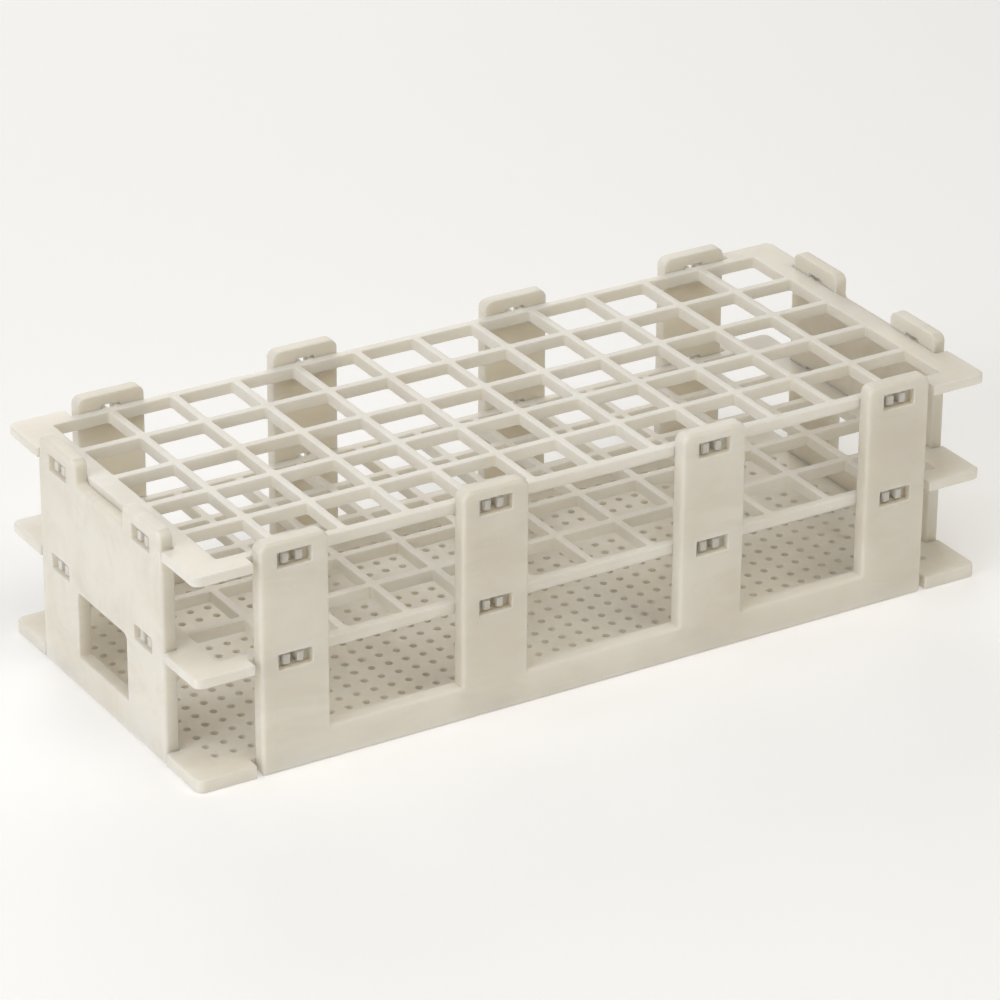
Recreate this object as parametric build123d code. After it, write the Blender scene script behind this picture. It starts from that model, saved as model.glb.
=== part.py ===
# Flat-pack test tube rack: a perforated base, two lattice shelves, two side
# panels and two end panels that snap together. Sizes are in millimetres, +Z is
# up, X runs along the rack and the origin is the middle of the underside.
import os

from build123d import *

os.makedirs("parts", exist_ok=True)

# ---- lattice of tube places ----
tube_columns = 12
tube_rows = 5
tube_pitch = 19.0
bar_width = 2.4
cell_corner_radius = 0.7
end_margin = 3.8  # plate left outside the lattice at each end
side_margin = 0.4  # and along each side

# ---- plates ----
top_shelf_height = 62.4
middle_shelf_height = 33.2
shelf_thickness = 2.8
rib_depth = 0.6  # the lattice bars stand this much below the plate around them
base_thickness = 3.8
corner_radius = 2.2
ear_length = 17.2
drain_diameter = 2.0
drain_spacing = 5.35
drain_margin = 2.0

# ---- side panels: four legs on one bottom rail ----
side_panel_thickness = 4.4
leg_width = 20.2
leg_spacing = 60.0  # from an outer leg to the one beside it
leg_rise = 4.1  # above the top shelf
leg_top_radius = 2.5
rail_height = 9.8
bay_corner_radius = 0.3

# ---- end panels ----
end_panel_thickness = 4.0
end_panel_width = 70.4
waist_drop = 2.1  # the edge between the tabs lies this much below the top shelf
tab_rise = 4.7  # above the top shelf
tab_width = 21.2
tab_inset = 0.6
tab_radius = 2.5
end_opening_width = 28.4
end_opening_bottom = 9.5
end_opening_web = 0.9  # plastic left between the opening and the windows over it
end_opening_radius = 1.6
end_lug_inset = 11.4

panel_edge_radius = 1.0

# ---- snap lugs and their stepped windows ----
lug_width = 5.6
lug_slot = 2.0
lug_root = 1.2
barb_width = 0.6
barb_length = 1.1
window_side_gap = 1.6
window_sill = 0.7
window_headroom = 1.1
throat_headroom = 0.9
window_step = 2.0

# ---- tongues that key the base into the panels ----
tongue_width = 12.0
tongue_thickness = 1.8
tongue_length = 2.0

# ---- clearances ----
snap_clearance = 0.15
tongue_clearance = 0.15
ear_leg_gap = 1.7
ear_panel_gap = 0.3

# ---- derived ----
cell_size = tube_pitch - bar_width
bar_depth = shelf_thickness + rib_depth
grid_half_length = (tube_columns * tube_pitch + bar_width) / 2
grid_half_width = (tube_rows * tube_pitch + bar_width) / 2
inner_half_length = grid_half_length + end_margin
inner_half_width = grid_half_width + side_margin
half_length = inner_half_length + end_panel_thickness
half_width = inner_half_width + side_panel_thickness
ear_inner_x = half_length - ear_length
ear_inner_y = end_panel_width / 2 + ear_panel_gap
rail_half_length = ear_inner_x - ear_leg_gap
outer_leg_offset = rail_half_length - leg_width / 2
inner_leg_offset = outer_leg_offset - leg_spacing
leg_offsets = [-outer_leg_offset, -inner_leg_offset, inner_leg_offset, outer_leg_offset]
leg_height = top_shelf_height + leg_rise
tab_height = top_shelf_height + tab_rise
waist_height = top_shelf_height - waist_drop
end_opening_top = middle_shelf_height - shelf_thickness - window_sill - end_opening_web
end_lug_offset = end_panel_width / 2 - end_lug_inset
window_width = lug_width + 2 * barb_width + 2 * window_side_gap
shelf_heights = [middle_shelf_height, top_shelf_height]
tongue_level = base_thickness / 2
drain_columns = 2 * int((grid_half_length - drain_margin) / drain_spacing) + 1
drain_rows = 2 * int((grid_half_width - drain_margin) / drain_spacing) + 1


def box_between(x_low, x_high, y_low, y_high, z_low, z_high):
    """A box given by its two ends on each axis."""
    size = (x_high - x_low, y_high - y_low, z_high - z_low)
    middle = ((x_low + x_high) / 2, (y_low + y_high) / 2, (z_low + z_high) / 2)
    return Pos(*middle) * Box(*size)


def edge_places():
    """Where lugs and tongues stand on a plate's edge, each with +Y outwards."""
    places = []
    for offset in leg_offsets:
        places.append(Pos(offset, inner_half_width, 0))
        places.append(Pos(offset, -inner_half_width, 0) * Rot(0, 0, 180))
    for offset in (-end_lug_offset, end_lug_offset):
        places.append(Pos(inner_half_length, offset, 0) * Rot(0, 0, -90))
        places.append(Pos(-inner_half_length, offset, 0) * Rot(0, 0, 90))
    return places


def eared_plate(thickness):
    """The plate between the panels with an ear at each corner, top at z = 0."""
    outline = Rectangle(2 * inner_half_length, 2 * inner_half_width)
    ear_size = (ear_length, half_width - ear_inner_y)
    ear_x = half_length - ear_length / 2
    ear_y = (ear_inner_y + half_width) / 2
    for x_side in (-1, 1):
        for y_side in (-1, 1):
            outline = outline + Pos(x_side * ear_x, y_side * ear_y) * Rectangle(*ear_size)
    tips = [
        corner
        for corner in outline.vertices()
        if abs(corner.X) > inner_half_length and abs(corner.Y) > inner_half_width
    ]
    outline = fillet(tips, corner_radius)
    return extrude(Plane.XY * outline, amount=-thickness)


def snap_lug():
    """A split lug standing out along +Y from a plate's edge, top at z = 0."""
    neck_length = window_step + snap_clearance
    full_length = neck_length + barb_length
    slot_edge = lug_slot / 2
    neck_edge = lug_width / 2
    barb_edge = neck_edge + barb_width
    prong_outline = [
        (slot_edge, -lug_root),
        (neck_edge, -lug_root),
        (neck_edge, neck_length),
        (barb_edge, neck_length),
        (neck_edge, full_length),
        (slot_edge, full_length),
    ]
    prong_face = make_face(Polyline(*prong_outline, close=True))
    prong = extrude(Plane.XY * prong_face, amount=-shelf_thickness)
    return prong + mirror(prong, Plane.YZ)


def lattice_shelf(height):
    """One lattice shelf whose top face lies at the given height."""
    lattice = Rectangle(2 * grid_half_length, 2 * grid_half_width)
    shelf = eared_plate(shelf_thickness) + extrude(Plane.XY * lattice, amount=-bar_depth)
    cell = RectangleRounded(cell_size, cell_size, cell_corner_radius)
    cells = GridLocations(tube_pitch, tube_pitch, tube_columns, tube_rows) * cell
    shelf = shelf - extrude(Plane.XY * Sketch(children=cells), amount=-bar_depth)
    for place in edge_places():
        shelf = shelf + place * snap_lug()
    return Pos(0, 0, height) * shelf


def perforated_base():
    """The base plate with its drain holes and edge tongues, underside at z = 0."""
    base = Pos(0, 0, base_thickness) * eared_plate(base_thickness)
    tongue_bottom = tongue_level - tongue_thickness / 2
    tongue_top = tongue_level + tongue_thickness / 2
    tongue = box_between(
        -tongue_width / 2, tongue_width / 2, -lug_root, tongue_length, tongue_bottom, tongue_top
    )
    for place in edge_places():
        base = base + place * tongue
    drain = Circle(drain_diameter / 2)
    drains = GridLocations(drain_spacing, drain_spacing, drain_columns, drain_rows) * drain
    return base - extrude(Plane.XY * Sketch(children=drains), amount=base_thickness)


def snap_window(panel_thickness, shelf_height):
    """Stepped window for one lug; the panel's inner face is the XZ plane."""
    underside = shelf_height - shelf_thickness
    throat_edge = lug_width / 2 + snap_clearance
    throat_bottom = underside - snap_clearance
    throat_top = shelf_height + throat_headroom
    throat = box_between(
        -throat_edge, throat_edge, 0, panel_thickness, throat_bottom, throat_top
    )
    mouth_edge = window_width / 2
    mouth_bottom = underside - window_sill
    mouth_top = shelf_height + window_headroom
    mouth = box_between(
        -mouth_edge, mouth_edge, window_step, panel_thickness, mouth_bottom, mouth_top
    )
    return throat + mouth


def tongue_socket():
    """Blind socket for one base tongue, opening on the panel's inner face."""
    edge = tongue_width / 2 + tongue_clearance
    depth = tongue_length + tongue_clearance
    bottom = tongue_level - tongue_thickness / 2 - tongue_clearance
    top = tongue_level + tongue_thickness / 2 + tongue_clearance
    return box_between(-edge, edge, 0, depth, bottom, top)


def finish_panel(face, thickness, lug_offsets):
    """Give an outline its thickness, rounded outer rim, windows and sockets."""
    panel = extrude(Plane.XZ * face, amount=-thickness)
    outer_rim = panel.faces().sort_by(Axis.Y)[-1].outer_wire().edges()
    panel = fillet(outer_rim, panel_edge_radius)
    for offset in lug_offsets:
        for height in shelf_heights:
            panel = panel - Pos(offset, 0, 0) * snap_window(thickness, height)
        panel = panel - Pos(offset, 0, 0) * tongue_socket()
    return panel


def side_panel():
    """Side panel standing with its inner face on the XZ plane, outer face at +Y."""
    face = Pos(0, rail_height / 2) * Rectangle(2 * rail_half_length, rail_height)
    for offset in leg_offsets:
        face = face + Pos(offset, leg_height / 2) * Rectangle(leg_width, leg_height)
    face = fillet(face.vertices().group_by(Axis.Y)[-1], leg_top_radius)
    face = fillet(face.vertices().group_by(Axis.Y)[1], bay_corner_radius)
    return finish_panel(face, side_panel_thickness, leg_offsets)


def end_panel():
    """End panel standing with its inner face on the XZ plane, outer face at +Y."""
    face = Pos(0, waist_height / 2) * Rectangle(end_panel_width, waist_height)
    tab_offset = end_panel_width / 2 - tab_inset - tab_width / 2
    for side in (-1, 1):
        face = face + Pos(side * tab_offset, tab_height / 2) * Rectangle(tab_width, tab_height)
    face = fillet(face.vertices().group_by(Axis.Y)[-1], tab_radius)
    opening_height = end_opening_top - end_opening_bottom
    opening = Rectangle(end_opening_width, opening_height)
    opening = fillet(opening.vertices().group_by(Axis.Y)[-1], end_opening_radius)
    face = face - Pos(0, end_opening_bottom + opening_height / 2) * opening
    return finish_panel(face, end_panel_thickness, [-end_lug_offset, end_lug_offset])


side = side_panel()
end = end_panel()

pieces = {
    "base_plate": perforated_base(),
    "middle_shelf": lattice_shelf(middle_shelf_height),
    "top_shelf": lattice_shelf(top_shelf_height),
    "rear_side_panel": Pos(0, inner_half_width, 0) * side,
    "front_side_panel": Pos(0, -inner_half_width, 0) * Rot(0, 0, 180) * side,
    "right_end_panel": Pos(inner_half_length, 0, 0) * Rot(0, 0, -90) * end,
    "left_end_panel": Pos(-inner_half_length, 0, 0) * Rot(0, 0, 90) * end,
}

for node, shape in pieces.items():
    shape.label = node
    export_step(shape, "parts/" + node + ".step")
    print(node, round(shape.volume, 1), "mm3")
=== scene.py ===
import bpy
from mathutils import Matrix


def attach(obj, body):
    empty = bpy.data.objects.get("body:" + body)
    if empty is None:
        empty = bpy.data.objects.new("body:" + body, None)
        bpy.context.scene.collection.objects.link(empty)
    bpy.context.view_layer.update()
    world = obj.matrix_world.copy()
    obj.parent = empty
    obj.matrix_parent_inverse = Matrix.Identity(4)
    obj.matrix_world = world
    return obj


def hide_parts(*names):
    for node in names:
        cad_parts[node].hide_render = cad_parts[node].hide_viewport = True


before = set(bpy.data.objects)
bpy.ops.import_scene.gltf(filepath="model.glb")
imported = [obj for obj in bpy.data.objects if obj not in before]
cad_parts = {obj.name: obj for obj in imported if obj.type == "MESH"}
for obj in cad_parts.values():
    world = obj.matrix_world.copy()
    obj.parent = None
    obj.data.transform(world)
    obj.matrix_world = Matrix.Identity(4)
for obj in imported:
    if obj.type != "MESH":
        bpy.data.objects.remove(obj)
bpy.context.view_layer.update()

import math

import bmesh
import bpy
from mathutils import Matrix, Vector

mm = 0.001
weldGap = 0.002 * mm
print("frame loaded,", len(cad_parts), "nodes")

# the rack's main sizes in millimetres
rack = {
    "columns": 12,
    "rows": 5,
    "pitch": 19.0,
    "bar": 2.4,
    "endMargin": 3.8,
    "sideMargin": 0.4,
    "sidePanel": 4.4,
    "endPanel": 4.0,
    "topShelf": 62.4,
    "middleShelf": 33.2,
    "shelfDepth": 2.8,
    "ribDepth": 0.6,
    "base": 3.8,
    "earLength": 17.2,
    "earPanelGap": 0.3,
    "earLegGap": 1.7,
    "earRound": 2.2,
    "earSideRound": 0.4,
    "earRootRound": 0.2,
    "endWidth": 70.4,
    "legWidth": 20.2,
    "legSpacing": 60.0,
    "lugWidth": 5.6,
    "lugSlot": 2.0,
    "lugNeck": 2.15,
    "lugLength": 3.25,
    "lugRootRound": 0.12,
    "neckRound": 0.1,
    "barb": 0.6,
    "barbRound": 0.3,
    "snapGap": 0.15,
    "endLugInset": 11.4,
}
gridHalfX = (rack["columns"] * rack["pitch"] + rack["bar"]) / 2
gridHalfY = (rack["rows"] * rack["pitch"] + rack["bar"]) / 2
innerX = gridHalfX + rack["endMargin"]
innerY = gridHalfY + rack["sideMargin"]
outerX = innerX + rack["endPanel"]
outerY = innerY + rack["sidePanel"]
earX = outerX - rack["earLength"]
earY = rack["endWidth"] / 2 + rack["earPanelGap"]
railX = earX - rack["earLegGap"]
outerLeg = railX - rack["legWidth"] / 2
legs = [-outerLeg, rack["legSpacing"] - outerLeg, outerLeg - rack["legSpacing"], outerLeg]
endLug = rack["endWidth"] / 2 - rack["endLugInset"]


# corners are (x, y, radius); gives the loop with each corner turned into an arc
# that is cut into steps shorter than detail
def roundedLoop(corners, detail=0.35):
    loop = []
    for i, (x, y, radius) in enumerate(corners):
        here = Vector((x, y))
        before = Vector(corners[i - 1][:2]) - here
        after = Vector(corners[(i + 1) % len(corners)][:2]) - here
        a, b = before.normalized(), after.normalized()
        opening = a.angle(b)
        if radius <= 0 or opening > math.pi - 0.001:
            loop.append((x, y))
            continue
        reach = min(radius / math.tan(opening / 2), before.length * 0.8, after.length * 0.8)
        radius = reach * math.tan(opening / 2)
        middle = here + (a + b).normalized() * (radius / math.sin(opening / 2))
        start, end = here + a * reach - middle, here + b * reach - middle
        turn = math.atan2(start.cross(end), start.dot(end))
        steps = max(2, min(14, round(abs(turn) * radius / detail) + 2))
        for k in range(steps + 1):
            spoke = Matrix.Rotation(turn * k / steps, 2) @ start
            loop.append(tuple(middle + spoke))
    return loop


def box2d(x0, x1, y0, y1, radius):
    return [(x0, y0, radius), (x1, y0, radius), (x1, y1, radius), (x0, y1, radius)]


# the plate with an ear at each corner and, if wanted, its snap lugs; counter-clockwise
def plateCorners(lugs):
    # for each side: where the ear starts, the plate's edge, the ear's outer corner, the lugs
    sides = [
        (earX, innerY, outerX, outerY, legs),
        (earY, innerX, outerY, outerX, [-endLug, endLug]),
    ] * 2
    half, slot, root = rack["lugWidth"] / 2, rack["lugSlot"] / 2, rack["lugRootRound"]
    neck, length, tip = rack["lugNeck"], rack["lugLength"], rack["barbRound"]
    prong = [
        (half, 0, root),
        (half, neck, rack["neckRound"]),
        (half + rack["barb"], neck, tip * 0.95),
        (half, length, tip),
        (slot, length, tip),
        (slot, 0, root),
    ]
    earSide, earRoot = rack["earSideRound"], rack["earRootRound"]
    corners = []
    for turn, (step, inner, tipAlong, tipOut, places) in enumerate(sides):
        run = [(-step, tipOut, earSide), (-step, inner, earRoot)]
        for c in places if lugs else []:
            run += [(c - along, inner + out, r) for along, out, r in prong]
            run += [(c + along, inner + out, r) for along, out, r in reversed(prong)]
        run += [(step, inner, earRoot), (step, tipOut, earSide)]
        run.append((tipAlong, tipOut, rack["earRound"]))
        spin = Matrix.Rotation(math.radians(90 * turn), 2)
        for along, out, radius in run:
            x, y = spin @ Vector((along, -out))
            corners.append((x, y, radius))
    return corners


# a flat closed curve that the node tree reads as a plate's outline
def outlineCurve(name, corners):
    loop = roundedLoop(corners)
    curve = bpy.data.curves.new(name, "CURVE")
    curve.dimensions = "2D"
    spline = curve.splines.new("POLY")
    spline.points.add(len(loop) - 1)
    for point, (x, y) in zip(spline.points, loop):
        point.co = (x * mm, y * mm, 0, 1)
    spline.use_cyclic_u = True
    return bpy.data.objects.new(name, curve)


# adds a node, applies its settings, then fills or links the named inputs
def node(tree, kind, inputs=None, **settings):
    new = tree.nodes.new(kind)
    for key, value in settings.items():
        setattr(new, key, value)
    for key, value in (inputs or {}).items():
        socket = new.inputs[key]
        if isinstance(value, bpy.types.NodeSocket):
            tree.links.new(value, socket)
        else:
            socket.default_value = value
    return new


def calc(tree, operation, a, b=0.0, c=0.0):
    values = {0: a, 1: b, 2: c}
    return node(tree, "ShaderNodeMath", values, operation=operation).outputs[0]


def point3(tree, x, y, z=0.0):
    return node(tree, "ShaderNodeCombineXYZ", {0: x, 1: y, 2: z}).outputs[0]


def newTree(name, kind, ins, outs):
    tree = bpy.data.node_groups.new(name, kind)
    for direction, sockets in (("INPUT", ins), ("OUTPUT", outs)):
        for label, socketType, *start in sockets:
            made = tree.interface.new_socket(label, in_out=direction, socket_type=socketType)
            if start:
                made.default_value = start[0]
    return tree, tree.nodes.new("NodeGroupInput"), tree.nodes.new("NodeGroupOutput")


# sweeps a wall with rounded lips down from flat loops; solid lies left of the travel
def roundedWallTree():
    tree, given, out = newTree(
        "roundedWall", "GeometryNodeTree",
        [
            ("Loops", "NodeSocketGeometry"),
            ("From Depth", "NodeSocketFloat", 0.0),
            ("To Depth", "NodeSocketFloat", 0.0028),
            ("Top Round", "NodeSocketFloat", 0.0003),
            ("Bottom Round", "NodeSocketFloat", 0.0003),
            ("Round Steps", "NodeSocketInt", 3),
        ],
        [("Wall", "NodeSocketGeometry")],
    )
    g = given.outputs
    topIn = calc(tree, "MULTIPLY", g["Top Round"], -1.0)
    bottomIn = calc(tree, "MULTIPLY", g["Bottom Round"], -1.0)
    section = node(tree, "GeometryNodeCurvePrimitiveQuadrilateral", {
        "Point 1": point3(tree, topIn, g["From Depth"]),
        "Point 2": point3(tree, 0.0, g["From Depth"]),
        "Point 3": point3(tree, 0.0, g["To Depth"]),
        "Point 4": point3(tree, bottomIn, g["To Depth"]),
    }, mode="POINTS")
    opened = node(tree, "GeometryNodeSetSplineCyclic", {
        "Geometry": section.outputs[0], "Cyclic": False})
    order = node(tree, "GeometryNodeInputIndex")
    isTop = calc(tree, "COMPARE", order.outputs[0], 1.0, 0.1)
    radius = node(tree, "GeometryNodeSwitch", {
        "Switch": isTop, "False": g["Bottom Round"], "True": g["Top Round"]},
        input_type="FLOAT")
    lips = node(tree, "GeometryNodeFilletCurve", {
        "Curve": opened.outputs[0], "Radius": radius.outputs[0],
        "Count": g["Round Steps"], "Limit Radius": False}, mode="POLY")
    level = node(tree, "GeometryNodeSetCurveNormal", {"Curve": g["Loops"]}, mode="Z_UP")
    sweep = node(tree, "GeometryNodeCurveToMesh", {
        "Curve": level.outputs[0], "Profile Curve": lips.outputs[0]})
    tree.links.new(sweep.outputs[0], out.inputs[0])
    return tree


# closes the open edges lying at one height with a flat face that keeps its holes
def levelFillTree():
    tree, given, out = newTree(
        "levelFill", "GeometryNodeTree",
        [("Walls", "NodeSocketGeometry"), ("Height", "NodeSocketFloat", 0.0)],
        [("Face", "NodeSocketGeometry")],
    )
    sides = node(tree, "GeometryNodeInputMeshEdgeNeighbors")
    openEdge = calc(tree, "COMPARE", sides.outputs["Face Count"], 1.0, 0.1)
    place = node(tree, "GeometryNodeInputPosition")
    z = node(tree, "ShaderNodeSeparateXYZ", {0: place.outputs[0]}).outputs["Z"]
    atHeight = calc(tree, "COMPARE", z, given.outputs["Height"], 0.00002)
    chosen = calc(tree, "MULTIPLY", openEdge, atHeight)
    loops = node(tree, "GeometryNodeMeshToCurve", {
        "Mesh": given.outputs["Walls"], "Selection": chosen})
    face = node(tree, "GeometryNodeFillCurve", {"Curve": loops.outputs[0]}, mode="TRIANGLES")
    lift = point3(tree, 0.0, 0.0, given.outputs["Height"])
    moved = node(tree, "GeometryNodeSetPosition", {
        "Geometry": face.outputs[0], "Offset": lift})
    tree.links.new(moved.outputs[0], out.inputs[0])
    return tree


# a plate with rounded lips, pierced by a grid of cells, with ribs under the grid
def pressedPlateTree(wall, fill):
    tree, given, out = newTree(
        "pressedPlate", "GeometryNodeTree",
        [
            ("Geometry", "NodeSocketGeometry"),
            ("Outline", "NodeSocketObject"),
            ("Columns", "NodeSocketInt", 12),
            ("Rows", "NodeSocketInt", 5),
            ("Pitch", "NodeSocketFloat", 0.019),
            ("Cell Size", "NodeSocketFloat", 0.0166),
            ("Cell Corner", "NodeSocketFloat", 0.0007),
            ("Corner Steps", "NodeSocketInt", 4),
            ("Plate Depth", "NodeSocketFloat", 0.0028),
            ("Rib Depth", "NodeSocketFloat", 0.0006),
            ("Edge Round", "NodeSocketFloat", 0.00028),
            ("Round Steps", "NodeSocketInt", 3),
            ("Material", "NodeSocketMaterial"),
        ],
        [("Geometry", "NodeSocketGeometry")],
    )
    g = given.outputs
    fullDepth = calc(tree, "ADD", g["Plate Depth"], g["Rib Depth"])

    def wallOf(loops, start, end, topRound):
        return node(tree, "GeometryNodeGroup", {
            "Loops": loops, "From Depth": start, "To Depth": end, "Top Round": topRound,
            "Bottom Round": g["Edge Round"], "Round Steps": g["Round Steps"]},
            node_tree=wall).outputs[0]

    # rim
    outline = node(tree, "GeometryNodeObjectInfo", {"Object": g["Outline"]})
    rim = wallOf(outline.outputs["Geometry"], 0.0, g["Plate Depth"], g["Edge Round"])
    # one cell, swept and repeated over the grid
    square = node(tree, "GeometryNodeCurvePrimitiveQuadrilateral", {
        "Width": g["Cell Size"], "Height": g["Cell Size"]}, mode="RECTANGLE")
    cell = node(tree, "GeometryNodeFilletCurve", {
        "Curve": square.outputs[0], "Radius": g["Cell Corner"],
        "Count": g["Corner Steps"], "Limit Radius": True}, mode="POLY")
    inward = node(tree, "GeometryNodeReverseCurve", {"Curve": cell.outputs[0]})
    cellWall = wallOf(inward.outputs[0], 0.0, fullDepth, g["Edge Round"])
    places = node(tree, "GeometryNodeMeshGrid", {
        "Size X": calc(tree, "MULTIPLY", calc(tree, "SUBTRACT", g["Columns"], 1.0), g["Pitch"]),
        "Size Y": calc(tree, "MULTIPLY", calc(tree, "SUBTRACT", g["Rows"], 1.0), g["Pitch"]),
        "Vertices X": g["Columns"], "Vertices Y": g["Rows"]})
    cells = node(tree, "GeometryNodeInstanceOnPoints", {
        "Points": places.outputs["Mesh"], "Instance": cellWall})
    cellsReal = node(tree, "GeometryNodeRealizeInstances", {"Geometry": cells.outputs[0]})
    # ribs: the grid stands below the plate around it
    bar = calc(tree, "SUBTRACT", g["Pitch"], g["Cell Size"])
    skirt = node(tree, "GeometryNodeCurvePrimitiveQuadrilateral", {
        "Width": calc(tree, "ADD", calc(tree, "MULTIPLY", g["Columns"], g["Pitch"]), bar),
        "Height": calc(tree, "ADD", calc(tree, "MULTIPLY", g["Rows"], g["Pitch"]), bar),
    }, mode="RECTANGLE")
    skirtWall = wallOf(skirt.outputs[0], g["Plate Depth"], fullDepth, 0.0)
    hasRibs = calc(tree, "GREATER_THAN", g["Rib Depth"], 0.00001)
    skirtUsed = node(tree, "GeometryNodeSwitch", {
        "Switch": hasRibs, "True": skirtWall}, input_type="GEOMETRY")

    walls = tree.nodes.new("GeometryNodeJoinGeometry")
    for part in (rim, cellsReal.outputs[0], skirtUsed.outputs[0]):
        tree.links.new(part, walls.inputs[0])
    welded = node(tree, "GeometryNodeMergeByDistance", {
        "Geometry": walls.outputs[0], "Distance": weldGap})

    # flat faces at the top, under the plate and under the ribs
    faces = []
    for depth in (0.0, g["Plate Depth"], fullDepth):
        height = calc(tree, "MULTIPLY", depth, -1.0)
        face = node(tree, "GeometryNodeGroup", {
            "Walls": welded.outputs[0], "Height": height}, node_tree=fill)
        faces.append(face.outputs[0])
    ribFace = node(tree, "GeometryNodeSwitch", {
        "Switch": hasRibs, "True": faces[2]}, input_type="GEOMETRY")
    shell = tree.nodes.new("GeometryNodeJoinGeometry")
    for part in (welded.outputs[0], faces[0], faces[1], ribFace.outputs[0]):
        tree.links.new(part, shell.inputs[0])
    closed = node(tree, "GeometryNodeMergeByDistance", {
        "Geometry": shell.outputs[0], "Distance": weldGap})
    real = node(tree, "GeometryNodeRealizeInstances", {"Geometry": closed.outputs[0]})
    painted = node(tree, "GeometryNodeSetMaterial", {
        "Geometry": real.outputs[0], "Material": g["Material"]})
    tree.links.new(painted.outputs[0], out.inputs[0])
    return tree


# welds doubles, turns every face outwards and shades the shell smooth
def finishMesh(mesh):
    bm = bmesh.new()
    bm.from_mesh(mesh)
    bmesh.ops.remove_doubles(bm, verts=bm.verts, dist=weldGap)
    bmesh.ops.dissolve_degenerate(bm, edges=bm.edges, dist=weldGap / 2)
    bmesh.ops.recalc_face_normals(bm, faces=bm.faces)
    for face in bm.faces:
        face.smooth = True
    for edge in bm.edges:
        if len(edge.link_faces) == 2 and edge.calc_face_angle() > math.radians(40):
            edge.smooth = False
    openEdges = sum(1 for edge in bm.edges if len(edge.link_faces) != 2)
    bm.to_mesh(mesh)
    bm.free()
    return openEdges


# puts a finished mesh in the scene as the looks of one CAD node
def addPiece(name, mesh, cadNode, material):
    openEdges = finishMesh(mesh)
    mesh.name = name
    mesh.materials.clear()
    mesh.materials.append(material)
    piece = bpy.data.objects.new(name, mesh)
    bpy.context.scene.collection.objects.link(piece)
    flat = piece.modifiers.new("flatFaces", "WEIGHTED_NORMAL")
    flat.mode = "FACE_AREA"
    flat.weight = 80
    flat.keep_sharp = True
    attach(piece, "root")
    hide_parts(cadNode)
    print(name, len(mesh.polygons), "faces,", openEdges, "open edges")


# runs the plate tree with its inputs set and gives back a plain mesh, top at z = 0
def pressPlate(tree, outline, material, values):
    host = bpy.data.objects.new("plateHost", bpy.data.meshes.new("plateHost"))
    bpy.context.scene.collection.objects.link(host)
    press = host.modifiers.new("press", "NODES")
    press.node_group = tree
    sockets = {
        item.name: item.identifier
        for item in tree.interface.items_tree
        if item.item_type == "SOCKET" and item.in_out == "INPUT"
    }
    press[sockets["Outline"]] = outline
    press[sockets["Material"]] = material
    for label, value in values.items():
        press[sockets[label]] = value
    bpy.context.view_layer.update()
    graph = bpy.context.evaluated_depsgraph_get()
    mesh = bpy.data.meshes.new_from_object(host.evaluated_get(graph))
    bpy.data.objects.remove(host)
    return mesh


# the same rounded wall as the node group's, for the panels; depths run down from z = 0
def sweepLoop(bm, loop, start, end, topRound, bottomRound, steps=5):
    section = []
    for depth, radius, first in ((start, topRound, 0), (end, bottomRound, 90)):
        if radius <= 0:
            section.append((0.0, depth))
            continue
        centre = depth + radius if first == 0 else depth - radius
        for k in range(steps + 1):
            angle = math.radians(first + 90 * k / steps)
            section.append((radius * (math.sin(angle) - 1), centre - radius * math.cos(angle)))
    count = len(loop)
    rings = []
    for out, depth in section:
        ring = []
        for i in range(count):
            here = Vector(loop[i])
            a = (here - Vector(loop[i - 1])).normalized()
            b = (Vector(loop[(i + 1) % count]) - here).normalized()
            side = Vector((a.y + b.y, -a.x - b.x))
            side /= max(0.2, 1 + a.dot(b))
            x, y = here + side * out
            ring.append(bm.verts.new((x * mm, y * mm, -depth * mm)))
        rings.append(ring)
    for upper, lower in zip(rings, rings[1:]):
        for i in range(count):
            j = (i + 1) % count
            bm.faces.new((upper[i], upper[j], lower[j], lower[i]))


def fillLevel(bm, depth):
    edges = [
        edge for edge in bm.edges
        if len(edge.link_faces) == 1
        and all(abs(v.co.z + depth * mm) < 0.01 * mm for v in edge.verts)
    ]
    if edges:
        bmesh.ops.triangle_fill(bm, use_beauty=True, use_dissolve=False, edges=edges)


# a standing panel, drawn lying down with its outer face at z = 0
def buildPanel(outline, openings, lugPlaces, panel):
    thick = panel["thickness"]
    step = thick - panel["windowStep"]
    socketFloor = thick - panel["socketDepth"]
    bm = bmesh.new()
    sweepLoop(bm, roundedLoop(outline), 0, thick, panel["outerRound"], panel["innerRound"])
    for opening in openings:
        hole = roundedLoop(opening)[::-1]
        sweepLoop(bm, hole, 0, thick, panel["openingRound"], panel["openingRound"])
    for x in lugPlaces:
        for top in (rack["middleShelf"], rack["topShelf"]):
            under = top - rack["shelfDepth"]
            half = panel["windowWidth"] / 2
            mouth = box2d(x - half, x + half, under - panel["windowSill"],
                          top + panel["windowHead"], panel["windowCorner"])
            sweepLoop(bm, roundedLoop(mouth)[::-1], 0, step, panel["windowRound"], 0)
            half, gap = rack["lugWidth"] / 2 + rack["snapGap"], rack["snapGap"]
            throat = box2d(x - half, x + half, under - gap, top + panel["throatHead"],
                           panel["throatCorner"])
            sweepLoop(bm, roundedLoop(throat)[::-1], step, thick, 0, 0)
        half, rise, middle = panel["socketWidth"] / 2, panel["socketHeight"] / 2, rack["base"] / 2
        pocket = box2d(x - half, x + half, middle - rise, middle + rise, panel["socketCorner"])
        sweepLoop(bm, roundedLoop(pocket)[::-1], socketFloor, thick, 0, 0)
    for depth in (0, step, socketFloor, thick):
        fillLevel(bm, depth)
    mesh = bpy.data.meshes.new("panel")
    bm.to_mesh(mesh)
    bm.free()
    return mesh


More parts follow.
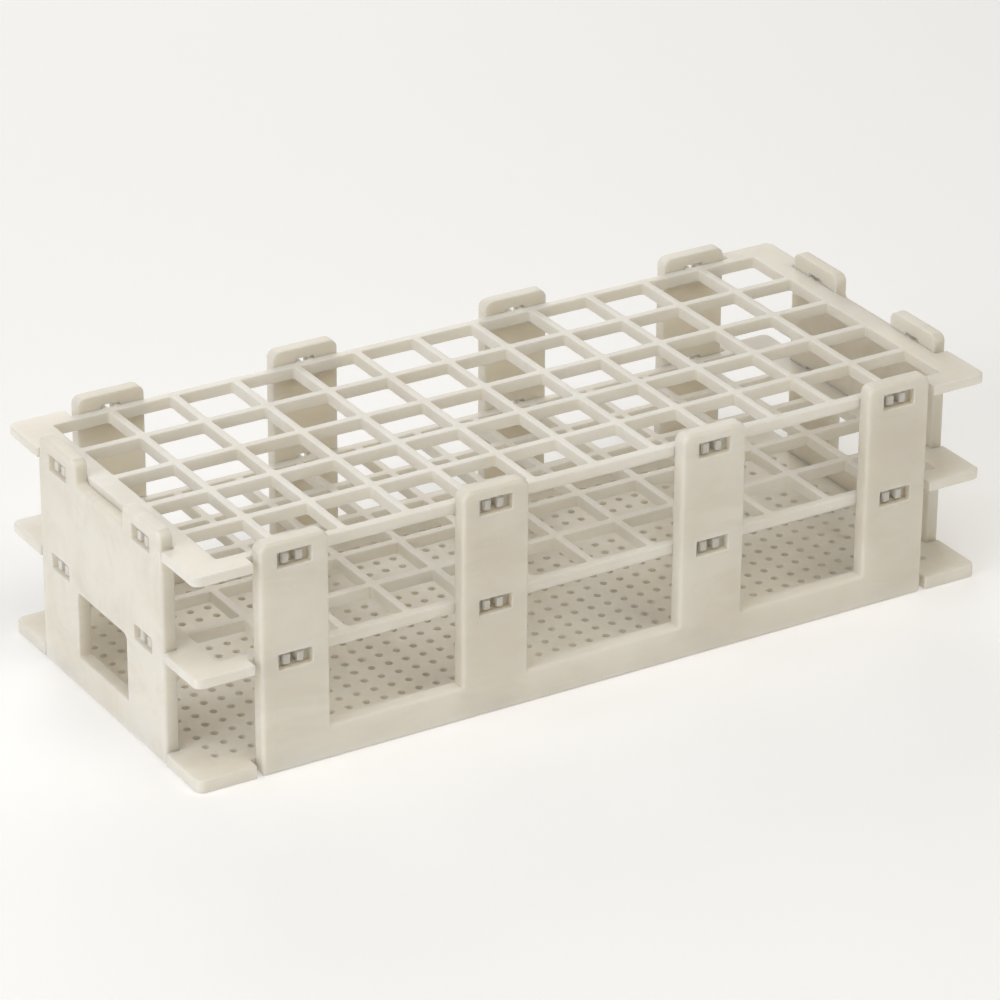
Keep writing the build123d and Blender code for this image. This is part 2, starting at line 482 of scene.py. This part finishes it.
# stands a lying panel upright, pushes it out to its place and turns it round the rack
def standUp(mesh, turn, reach):
    upright = Matrix.Rotation(math.radians(90), 4, "X")
    mesh.transform(Matrix.Translation((0, -reach * mm, 0)) @ upright)
    mesh.transform(Matrix.Rotation(math.radians(turn), 4, "Z"))
    return mesh


# colour, roughness and height of moulded plastic: mottle, flow, grain, scuffs and dust
def mouldedSkinTree():
    tree, given, out = newTree(
        "mouldedSkin", "ShaderNodeTree",
        [
            ("Vector", "NodeSocketVector"),
            ("Tint", "NodeSocketColor", (0.8, 0.77, 0.71, 1.0)),
            ("Shade", "NodeSocketColor", (0.72, 0.68, 0.61, 1.0)),
            ("Mottle", "NodeSocketFloat", 0.25),
            ("Flow", "NodeSocketFloat", 0.15),
            ("Scuffs", "NodeSocketFloat", 0.3),
            ("Dust", "NodeSocketFloat", 0.2),
            ("Grain Size", "NodeSocketFloat", 0.00035),
            ("Roughness", "NodeSocketFloat", 0.42),
            ("Seed", "NodeSocketFloat", 0.0),
        ],
        [
            ("Color", "NodeSocketColor"),
            ("Roughness", "NodeSocketFloat"),
            ("Height", "NodeSocketFloat"),
        ],
    )
    g = given.outputs
    shift = point3(tree, g["Seed"], calc(tree, "MULTIPLY", g["Seed"], 0.7), 0.3)
    place = node(tree, "ShaderNodeVectorMath", {0: g["Vector"], 1: shift}, operation="ADD")
    spot = place.outputs[0]

    def noise(vector, scale, detail, rough=0.5, distortion=0.0):
        made = node(tree, "ShaderNodeTexNoise", {
            "Vector": vector, "Scale": scale, "Detail": detail, "Roughness": rough,
            "Distortion": distortion})
        return made.outputs["Fac"]

    def ramp(value, low, high):
        made = node(tree, "ShaderNodeMapRange", {
            "Value": value, "From Min": low, "From Max": high}, interpolation_type="SMOOTHSTEP")
        return made.outputs[0]

    def stretched(x, y, z):
        made = node(tree, "ShaderNodeVectorMath", {0: spot, 1: (x, y, z)}, operation="MULTIPLY")
        return made.outputs[0]

    mottle = ramp(noise(spot, 28.0, 3.0, 0.55), 0.3, 0.7)
    flow = ramp(noise(stretched(0.35, 1.0, 1.0), 75.0, 3.0, 0.6, 1.2), 0.42, 0.72)
    grain = noise(spot, calc(tree, "DIVIDE", 1.0, g["Grain Size"]), 3.0, 0.6)
    peel = noise(spot, 260.0, 2.0, 0.5)
    # scuffs: thin broken lines, only in rubbed patches
    lineA = noise(stretched(0.05, 1.0, 1.0), 900.0, 2.0, 0.4, 0.3)
    lineB = noise(stretched(1.0, 0.06, 0.9), 750.0, 2.0, 0.4, 0.3)
    lines = calc(tree, "MAXIMUM", ramp(lineA, 0.66, 0.72), ramp(lineB, 0.67, 0.73))
    rubbed = ramp(noise(spot, 45.0, 2.0), 0.5, 0.68)
    scuff = calc(tree, "MULTIPLY", calc(tree, "MULTIPLY", lines, rubbed), g["Scuffs"])
    # dust settles on what faces up
    facing = node(tree, "ShaderNodeNewGeometry")
    up = node(tree, "ShaderNodeSeparateXYZ", {0: facing.outputs["Normal"]}).outputs["Z"]
    specks = ramp(noise(spot, 2600.0, 1.0), 0.68, 0.76)
    film = calc(tree, "MULTIPLY", ramp(noise(spot, 60.0, 5.0, 0.65), 0.45, 0.8), 0.6)
    dust = calc(tree, "MULTIPLY", calc(tree, "MAXIMUM", specks, film), ramp(up, 0.5, 0.95))
    dust = calc(tree, "MULTIPLY", dust, g["Dust"])

    def blend(amount, a, b):
        made = node(tree, "ShaderNodeMix", {0: amount, 6: a, 7: b}, data_type="RGBA")
        return made.outputs[2]

    colour = blend(calc(tree, "MULTIPLY", mottle, g["Mottle"]), g["Tint"], g["Shade"])
    colour = blend(calc(tree, "MULTIPLY", flow, g["Flow"]), colour, g["Shade"])
    colour = blend(calc(tree, "MULTIPLY", scuff, 0.5), colour, (0.9, 0.89, 0.86, 1.0))
    colour = blend(dust, colour, (0.55, 0.52, 0.47, 1.0))
    tree.links.new(colour, out.inputs["Color"])

    rough = calc(tree, "ADD", g["Roughness"], calc(tree, "MULTIPLY", peel, 0.06))
    rough = calc(tree, "ADD", rough, calc(tree, "MULTIPLY", scuff, 0.25))
    rough = calc(tree, "ADD", rough, calc(tree, "MULTIPLY", dust, 0.35))
    tree.links.new(rough, out.inputs["Roughness"])

    height = calc(tree, "ADD", calc(tree, "MULTIPLY", grain, 0.45),
                  calc(tree, "MULTIPLY", peel, 0.9))
    height = calc(tree, "SUBTRACT", height, calc(tree, "MULTIPLY", scuff, 0.6))
    tree.links.new(height, out.inputs["Height"])
    return tree


# one plastic, with its own values in the shared skin group
def plasticMaterial(name, skin, look):
    material = bpy.data.materials.new(name)
    material.use_nodes = True
    tree = material.node_tree
    shader = tree.nodes["Principled BSDF"]
    where = node(tree, "ShaderNodeTexCoord")
    coat = node(tree, "ShaderNodeGroup", {
        "Vector": where.outputs["Object"], **look["skin"]}, node_tree=skin)
    bump = node(tree, "ShaderNodeBump", {
        "Height": coat.outputs["Height"], "Distance": look["bumpHeight"],
        "Strength": look["bumpStrength"]})
    tree.links.new(coat.outputs["Color"], shader.inputs["Base Color"])
    tree.links.new(coat.outputs["Roughness"], shader.inputs["Roughness"])
    tree.links.new(bump.outputs[0], shader.inputs["Normal"])
    shader.inputs["IOR"].default_value = look["ior"]
    shader.inputs["Subsurface Weight"].default_value = look["glow"]
    shader.inputs["Subsurface Radius"].default_value = look["glowReach"]
    shader.inputs["Subsurface Scale"].default_value = look["glowDepth"]
    # a tidy row in the node editor
    for i, box in enumerate((where, coat, bump, shader)):
        box.location = (-700 + 260 * i, 0)
    return material


skin = mouldedSkinTree()
# what the three plastics share; red light reaches a little deeper than blue
plastic = {"ior": 1.49, "glow": 0.7, "glowDepth": 0.006, "glowReach": (1.0, 0.9, 0.78)}
plateLook = {
    "skin": {
        "Tint": (0.84, 0.795, 0.705, 1.0), "Shade": (0.70, 0.64, 0.53, 1.0), "Mottle": 0.5,
        "Flow": 0.3, "Scuffs": 0.45, "Dust": 0.28, "Grain Size": 0.00032,
        "Roughness": 0.40, "Seed": 1.0,
    },
    "bumpHeight": 0.00004, "bumpStrength": 0.6, **plastic,
}
latticeLook = {
    "skin": {
        "Tint": (0.845, 0.805, 0.73, 1.0), "Shade": (0.71, 0.66, 0.57, 1.0), "Mottle": 0.5,
        "Flow": 0.3, "Scuffs": 0.5, "Dust": 0.2, "Grain Size": 0.0003,
        "Roughness": 0.38, "Seed": 2.0,
    },
    "bumpHeight": 0.00003, "bumpStrength": 0.6, **plastic,
}
panelLook = {
    "skin": {
        "Tint": (0.84, 0.80, 0.715, 1.0), "Shade": (0.70, 0.65, 0.55, 1.0), "Mottle": 0.55,
        "Flow": 0.4, "Scuffs": 0.6, "Dust": 0.22, "Grain Size": 0.00035,
        "Roughness": 0.42, "Seed": 3.0,
    },
    "bumpHeight": 0.00004, "bumpStrength": 0.7, **plastic,
}
platePlastic = plasticMaterial("platePlastic", skin, plateLook)
latticePlastic = plasticMaterial("latticePlastic", skin, latticeLook)
panelPlastic = plasticMaterial("panelPlastic", skin, panelLook)
print("plastics mixed")

pressed = pressedPlateTree(roundedWallTree(), levelFillTree())
shelfOutline = outlineCurve("shelfOutline", plateCorners(lugs=True))
baseOutline = outlineCurve("baseOutline", plateCorners(lugs=False))
lattice = {
    "Columns": rack["columns"],
    "Rows": rack["rows"],
    "Pitch": rack["pitch"] * mm,
    "Cell Size": (rack["pitch"] - rack["bar"]) * mm,
    "Cell Corner": 0.7 * mm,
    "Corner Steps": 4,
    "Plate Depth": rack["shelfDepth"] * mm,
    "Rib Depth": rack["ribDepth"] * mm,
    "Edge Round": 0.28 * mm,
    "Round Steps": 3,
}
# corners of half the cell's size make the drain holes round
drains = {
    "Columns": 43,
    "Rows": 17,
    "Pitch": 5.35 * mm,
    "Cell Size": 2.0 * mm,
    "Cell Corner": 1.0 * mm,
    "Corner Steps": 2,
    "Plate Depth": rack["base"] * mm,
    "Rib Depth": 0.0,
    "Edge Round": 0.35 * mm,
    "Round Steps": 2,
}
for name, cadNode, height in (
    ("topLattice", "top_shelf", rack["topShelf"]),
    ("middleLattice", "middle_shelf", rack["middleShelf"]),
):
    mesh = pressPlate(pressed, shelfOutline, latticePlastic, lattice)
    mesh.transform(Matrix.Translation((0, 0, height * mm)))
    addPiece(name, mesh, cadNode, latticePlastic)

mesh = pressPlate(pressed, baseOutline, platePlastic, drains)
mesh.transform(Matrix.Translation((0, 0, rack["base"] * mm)))
addPiece("drainedBase", mesh, "base_plate", platePlastic)
print("shelves and base pressed")

# what both kinds of panel share: rims, snap windows, and sockets for the base's tongues
panelCommon = {
    "outerRound": 1.0,
    "innerRound": 0.35,
    "openingRound": 0.5,
    "footRound": 1.05,
    "windowWidth": 10.0,
    "windowSill": 0.7,
    "windowHead": 1.1,
    "windowStep": 2.0,
    "windowRound": 0.3,
    "windowCorner": 0.35,
    "throatHead": 0.9,
    "throatCorner": 0.2,
    "socketWidth": 12.3,
    "socketHeight": 2.1,
    "socketDepth": 2.15,
    "socketCorner": 0.2,
}
sidePanel = {
    **panelCommon,
    "thickness": rack["sidePanel"],
    "rail": 9.8,
    "legTop": rack["topShelf"] + 4.1,
    "legRound": 2.5,
    "bayCorner": 0.4,
}
endPanel = {
    **panelCommon,
    "thickness": rack["endPanel"],
    "waist": rack["topShelf"] - 2.1,
    "shoulderRise": 0.8,
    "shoulderRound": 2.0,
    "tabTop": rack["topShelf"] + 4.7,
    "tabIn": 13.4,
    "tabOut": 34.6,
    "tabRound": 2.5,
    "tabFootRound": 0.9,
    "opening": (-14.2, 14.2, 9.5, 28.8),
    "openingSillCorner": 0.4,
    "openingHeadCorner": 1.6,
}


# four legs on one rail, counter-clockwise from the left end of the rail
def sideCorners(panel):
    half, top, rail = rack["legWidth"] / 2, panel["legTop"], panel["rail"]
    corners = [(-railX, 0, panel["footRound"]), (railX, 0, panel["footRound"])]
    for leg in reversed(legs):
        if leg != legs[-1]:
            corners.append((leg + half, rail, panel["bayCorner"]))
        corners.append((leg + half, top, panel["legRound"]))
        corners.append((leg - half, top, panel["legRound"]))
        if leg != legs[0]:
            corners.append((leg - half, rail, panel["bayCorner"]))
    return corners


# a plate with two tabs on top and a waist between them; the left half mirrors the right
def endCorners(panel):
    edge, waist, rise = rack["endWidth"] / 2, panel["waist"], panel["shoulderRise"]
    rightHalf = [
        (edge, 0, panel["footRound"]),
        (edge, waist - rise, panel["shoulderRound"]),
        (panel["tabOut"], waist + rise, panel["shoulderRound"]),
        (panel["tabOut"], panel["tabTop"], panel["tabRound"]),
        (panel["tabIn"], panel["tabTop"], panel["tabRound"]),
        (panel["tabIn"], waist, panel["tabFootRound"]),
    ]
    return rightHalf + [(-x, y, radius) for x, y, radius in reversed(rightHalf)]


# the low opening in an end panel, rounder at its top
def endOpening(panel):
    x0, x1, y0, y1 = panel["opening"]
    sill, head = panel["openingSillCorner"], panel["openingHeadCorner"]
    return [(x0, y0, sill), (x1, y0, sill), (x1, y1, head), (x0, y1, head)]


for name, cadNode, turn in (
    ("frontSide", "front_side_panel", 0),
    ("rearSide", "rear_side_panel", 180),
):
    mesh = buildPanel(sideCorners(sidePanel), [], legs, sidePanel)
    addPiece(name, standUp(mesh, turn, outerY), cadNode, panelPlastic)
for name, cadNode, turn in (
    ("leftEnd", "left_end_panel", -90),
    ("rightEnd", "right_end_panel", 90),
):
    mesh = buildPanel(endCorners(endPanel), [endOpening(endPanel)], [-endLug, endLug], endPanel)
    addPiece(name, standUp(mesh, turn, outerX), cadNode, panelPlastic)
print("panels built")

stage = {
    "floorSize": 8.0,
    "floorLevel": -0.00005,  # a hair below the rack's underside
    "floorColour": (0.90, 0.895, 0.89, 1.0),
    "floorRoughness": 0.75,
    "floorGlow": 0.18,  # lifts the floor towards white
    "lightsAimAt": (0, 0, 0.03),
    "roomColour": (1.0, 0.97, 0.92, 1.0),
    "roomLight": 0.14,
}
bpy.ops.mesh.primitive_plane_add(
    size=stage["floorSize"], location=(0, 0, stage["floorLevel"]))
floor = bpy.context.object
floor.name = "paleFloor"
paint = bpy.data.materials.new("palePaint")
paint.use_nodes = True
coating = paint.node_tree.nodes["Principled BSDF"].inputs
coating["Base Color"].default_value = stage["floorColour"]
coating["Roughness"].default_value = stage["floorRoughness"]
coating["Emission Color"].default_value = (1.0, 1.0, 1.0, 1.0)
coating["Emission Strength"].default_value = stage["floorGlow"]
floor.data.materials.append(paint)

lights = {
    "overhead": {
        "at": (-0.35, -0.35, 1.45), "size": 1.2, "power": 8.5, "colour": (0.98, 0.985, 1.0)},
    "leftSoft": {
        "at": (-1.6, -0.2, 0.75), "size": 1.0, "power": 11.5, "colour": (0.97, 0.975, 1.0)},
    "frontFill": {
        "at": (0.4, -1.0, 1.7), "size": 1.2, "power": 8.5, "colour": (1.0, 0.94, 0.79)},
    "backSoft": {
        "at": (0.5, 1.6, 0.6), "size": 1.2, "power": 11.0, "colour": (1.0, 0.98, 0.95)},
}
for name, lamp in lights.items():
    data = bpy.data.lights.new(name, "AREA")
    data.shape = "SQUARE"
    data.size = lamp["size"]
    data.energy = lamp["power"]
    data.color = lamp["colour"]
    light = bpy.data.objects.new(name, data)
    light.location = lamp["at"]
    aim = Vector(stage["lightsAimAt"]) - light.location
    light.rotation_euler = aim.to_track_quat("-Z", "Y").to_euler()
    bpy.context.scene.collection.objects.link(light)

world = bpy.data.worlds.new("softRoom")
world.use_nodes = True
glow = world.node_tree.nodes["Background"].inputs
glow["Color"].default_value = stage["roomColour"]
glow["Strength"].default_value = stage["roomLight"]
bpy.context.scene.world = world
bpy.context.scene.view_settings.view_transform = "Standard"

view = {
    "lens": 177.66,
    "sensor": 36.0,
    "nearest": 0.05,
    "at": (-0.6309, -1.0401, 0.6268),
    "turn": (63.928, -0.310, -31.066),
}
camera = bpy.data.objects.new("camera", bpy.data.cameras.new("camera"))
camera.data.lens = view["lens"]
camera.data.sensor_width = view["sensor"]
camera.data.clip_start = view["nearest"]
camera.location = view["at"]
camera.rotation_euler = [math.radians(angle) for angle in view["turn"]]
bpy.context.scene.collection.objects.link(camera)
bpy.context.scene.camera = camera
print("stage set")
